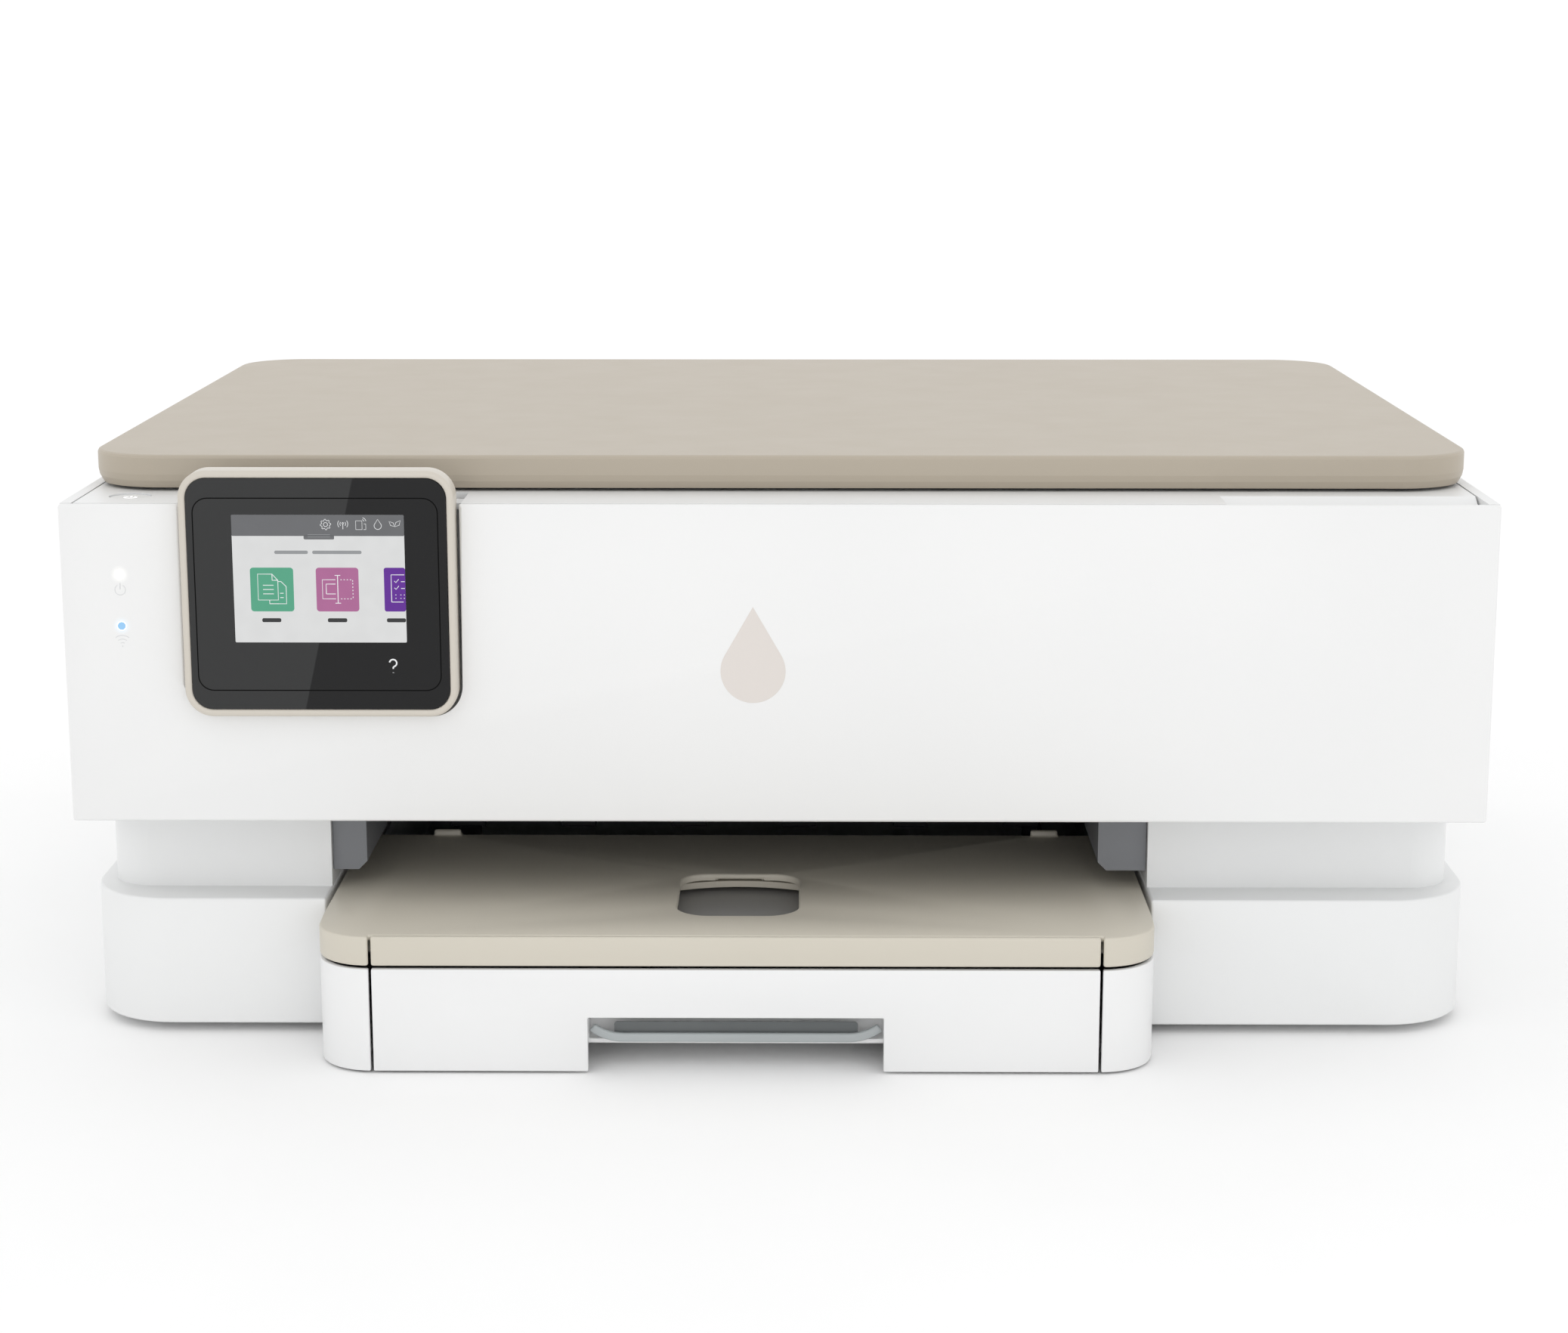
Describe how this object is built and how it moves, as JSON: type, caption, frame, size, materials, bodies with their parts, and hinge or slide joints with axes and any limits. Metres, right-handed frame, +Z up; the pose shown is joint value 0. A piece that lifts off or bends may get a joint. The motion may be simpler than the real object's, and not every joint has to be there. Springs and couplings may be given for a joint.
{
  "type": "inkjet multifunction printer",
  "caption": "Low, wide inkjet printer and scanner with an overhanging front door, tilting touch panel, hinged document lid and a sliding paper tray.",
  "frame": {"origin": "on the surface the feet stand on, under the middle of the machine with its tray closed", "axes": "+X to the printer's right as seen from the front, +Y from the front towards the rear cover, +Z up"},
  "size_m": [0.4606, 0.3836, 0.1906],
  "materials": {
    "white_casing": "fine satin moulding",
    "white_inner": "plain matt moulding",
    "taupe_lid": "satin",
    "beige_plate": "satin",
    "panel_trim": "satin",
    "panel_black": "glossy",
    "display": "smooth",
    "indicator": "clear, frosted",
    "bed_glass": "polished",
    "dark_moulding": "matt",
    "grey_moulding": "matt",
    "pad_foam": "soft, matt",
    "zinc_sheet": "zinc-plated sheet",
    "polished_rod": "ground and polished",
    "motor_can": "plated can",
    "black_rubber": "matt",
    "roller_rubber": "fine grit",
    "circuit_board": "solder mask",
    "gear_acetal": "smooth moulding",
    "brass_gear": "machined",
    "black_tank": "fine moulding",
    "colour_tank": "fine moulding",
    "socket_shell": "plated"
  },
  "bodies": {
    "housing": {"lower_base": "white_casing", "mid_housing": "white_casing", "left_side_cover": "white_casing", "right_side_cover": "white_casing", "rear_cover": "white_casing", "scanner_deck": "white_casing", "scanner_tub": "dark_moulding", "scanner_glass": "bed_glass", "scan_rod": "polished_rod", "panel_bracket": "white_inner", "hinge_pins": "polished_rod", "engine_deck": "dark_moulding", "output_guides": "grey_moulding", "platen": "dark_moulding", "rear_paper_guide": "grey_moulding", "carriage_rail": "zinc_sheet", "carriage_rod": "polished_rod", "carriage_motor": "motor_can", "feed_motor": "motor_can", "drive_belt": "black_rubber", "service_station": "grey_moulding", "main_board": "circuit_board", "power_supply": "dark_moulding", "power_inlet": "dark_moulding", "usb_port": "socket_shell", "rubber_feet": "black_rubber", "case_screws": "zinc_sheet"},
    "door": {"front_door": "white_casing", "indicator_lenses": "indicator"},
    "touch_panel": {"panel_frame": "panel_trim", "touch_glass": "panel_black", "display_module": "display", "panel_back": "white_inner"},
    "lid": {"lid_shell": "taupe_lid", "lid_inner": "white_inner", "lid_pad": "pad_foam"},
    "scan_carriage": {"scan_head": "dark_moulding"},
    "button": {"power_button": "white_casing"},
    "rear_door": {"rear_access_door": "white_casing"},
    "tray": {"paper_tray": "white_casing", "output_plate": "beige_plate", "slide_floor": "grey_moulding"},
    "tray_extension": {"tray_front": "white_casing"},
    "plate_extension": {"output_extender": "beige_plate"},
    "left_guide": {"width_guide_left": "grey_moulding"},
    "right_guide": {"width_guide_right": "grey_moulding"},
    "rack_pinion": {"guide_pinion": "grey_moulding"},
    "end_guide": {"length_guide": "grey_moulding"},
    "print_carriage": {"carriage": "dark_moulding", "color_cartridge": "colour_tank", "black_cartridge": "black_tank"},
    "latch": {"cartridge_latch": "grey_moulding"},
    "drive_pulley": {"motor_pulley": "grey_moulding"},
    "return_pulley": {"idler_pulley": "grey_moulding"},
    "feed_shaft": {"feed_roller": "roller_rubber"},
    "exit_shaft": {"exit_roller": "roller_rubber"},
    "train_idler": {"idler_gear": "gear_acetal"},
    "drive_pinion": {"motor_pinion": "brass_gear"},
    "star_shaft": {"star_wheels": "zinc_sheet"},
    "pickup_shaft": {"pickup_roller": "roller_rubber"}
  },
  "joints": [
    {"name": "front_door_hinge", "type": "hinge", "parent": "housing", "child": "door", "pos_m": [0, -0.1525, 0.078], "axis": [1, 0, 0], "range_deg": [0, 85]},
    {"name": "touch_panel_tilt", "type": "hinge", "parent": "housing", "child": "touch_panel", "pos_m": [0, -0.1485, 0.172], "axis": [-1, 0, 0], "range_deg": [0, 45]},
    {"name": "lid_hinge", "type": "hinge", "parent": "housing", "child": "lid", "pos_m": [0, 0.184, 0.183], "axis": [-1, 0, 0], "range_deg": [0, 80]},
    {"name": "scan_head_travel", "type": "slide", "parent": "housing", "child": "scan_carriage", "axis": [1, 0, 0], "range_m": [0, 0.3]},
    {"name": "power_button_press", "type": "slide", "parent": "housing", "child": "button", "axis": [0, 0, -1], "range_m": [0, 0.001], "stiffness_N_per_m": 400, "springref_m": -0.0005},
    {"name": "rear_door_hinge", "type": "hinge", "parent": "housing", "child": "rear_door", "pos_m": [0, 0.19055, 0.069], "axis": [-1, 0, 0], "range_deg": [0, 85]},
    {"name": "paper_tray_slide", "type": "slide", "parent": "housing", "child": "tray", "axis": [0, -1, 0], "range_m": [0, 0.15]},
    {"name": "tray_extension_slide", "type": "slide", "parent": "tray", "child": "tray_extension", "axis": [0, -1, 0], "range_m": [0, 0.045]},
    {"name": "plate_extension_slide", "type": "slide", "parent": "tray", "child": "plate_extension", "axis": [0, -1, 0], "range_m": [0, 0.1]},
    {"name": "left_guide_slide", "type": "slide", "parent": "tray", "child": "left_guide", "axis": [1, 0, 0], "range_m": [0, 0.058]},
    {"name": "right_guide_slide", "type": "slide", "parent": "tray", "child": "right_guide", "axis": [-1, 0, 0], "range_m": [0, 0.058]},
    {"name": "guide_pinion_turn", "type": "hinge", "parent": "tray", "child": "rack_pinion", "pos_m": [-0.0135, 0.016, 0.0093], "axis": [0, 0, 1], "range_deg": [-560, 5]},
    {"name": "end_guide_slide", "type": "slide", "parent": "tray_extension", "child": "end_guide", "axis": [0, 1, 0], "range_m": [0, 0.09]},
    {"name": "carriage_travel", "type": "slide", "parent": "housing", "child": "print_carriage", "axis": [-1, 0, 0], "range_m": [0, 0.3]},
    {"name": "cartridge_latch_hinge", "type": "hinge", "parent": "print_carriage", "child": "latch", "pos_m": [0.165, 0.004, 0.117], "axis": [-1, 0, 0], "range_deg": [0, 38]},
    {"name": "motor_pulley_turn", "type": "hinge", "parent": "housing", "child": "drive_pulley", "pos_m": [0.205, 0.0296, 0.121], "axis": [0, 1, 0], "range_deg": [-5, 2590]},
    {"name": "idler_pulley_turn", "type": "hinge", "parent": "housing", "child": "return_pulley", "pos_m": [-0.2, 0.0296, 0.121], "axis": [0, 1, 0], "range_deg": [-5, 2590]},
    {"name": "feed_roller_turn", "type": "hinge", "parent": "housing", "child": "feed_shaft", "pos_m": [0, 0.018, 0.0525], "axis": [1, 0, 0], "continuous": true},
    {"name": "exit_roller_turn", "type": "hinge", "parent": "housing", "child": "exit_shaft", "pos_m": [0, -0.05, 0.0525], "axis": [1, 0, 0], "continuous": true},
    {"name": "idler_gear_turn", "type": "hinge", "parent": "housing", "child": "train_idler", "pos_m": [0, -0.018, 0.0525], "axis": [1, 0, 0], "continuous": true},
    {"name": "motor_pinion_turn", "type": "hinge", "parent": "housing", "child": "drive_pinion", "pos_m": [0, 0.03779, 0.07086], "axis": [1, 0, 0], "continuous": true},
    {"name": "star_wheel_turn", "type": "hinge", "parent": "housing", "child": "star_shaft", "pos_m": [0, -0.05, 0.0663], "axis": [1, 0, 0], "continuous": true},
    {"name": "pickup_roller_turn", "type": "hinge", "parent": "housing", "child": "pickup_shaft", "pos_m": [0, 0.078, 0.05], "axis": [1, 0, 0], "continuous": true}
  ],
  "couplings": [
    {"joint": "right_guide_slide", "follows": "left_guide_slide", "ratio": 1},
    {"joint": "guide_pinion_turn", "follows": "left_guide_slide", "rad_per_m": -166.67},
    {"joint": "motor_pulley_turn", "follows": "carriage_travel", "rad_per_m": 150.38},
    {"joint": "idler_pulley_turn", "follows": "carriage_travel", "rad_per_m": 150.38},
    {"joint": "exit_roller_turn", "follows": "feed_roller_turn", "ratio": 1.2353},
    {"joint": "idler_gear_turn", "follows": "feed_roller_turn", "ratio": -1.4},
    {"joint": "motor_pinion_turn", "follows": "feed_roller_turn", "ratio": -3.5}
  ]
}
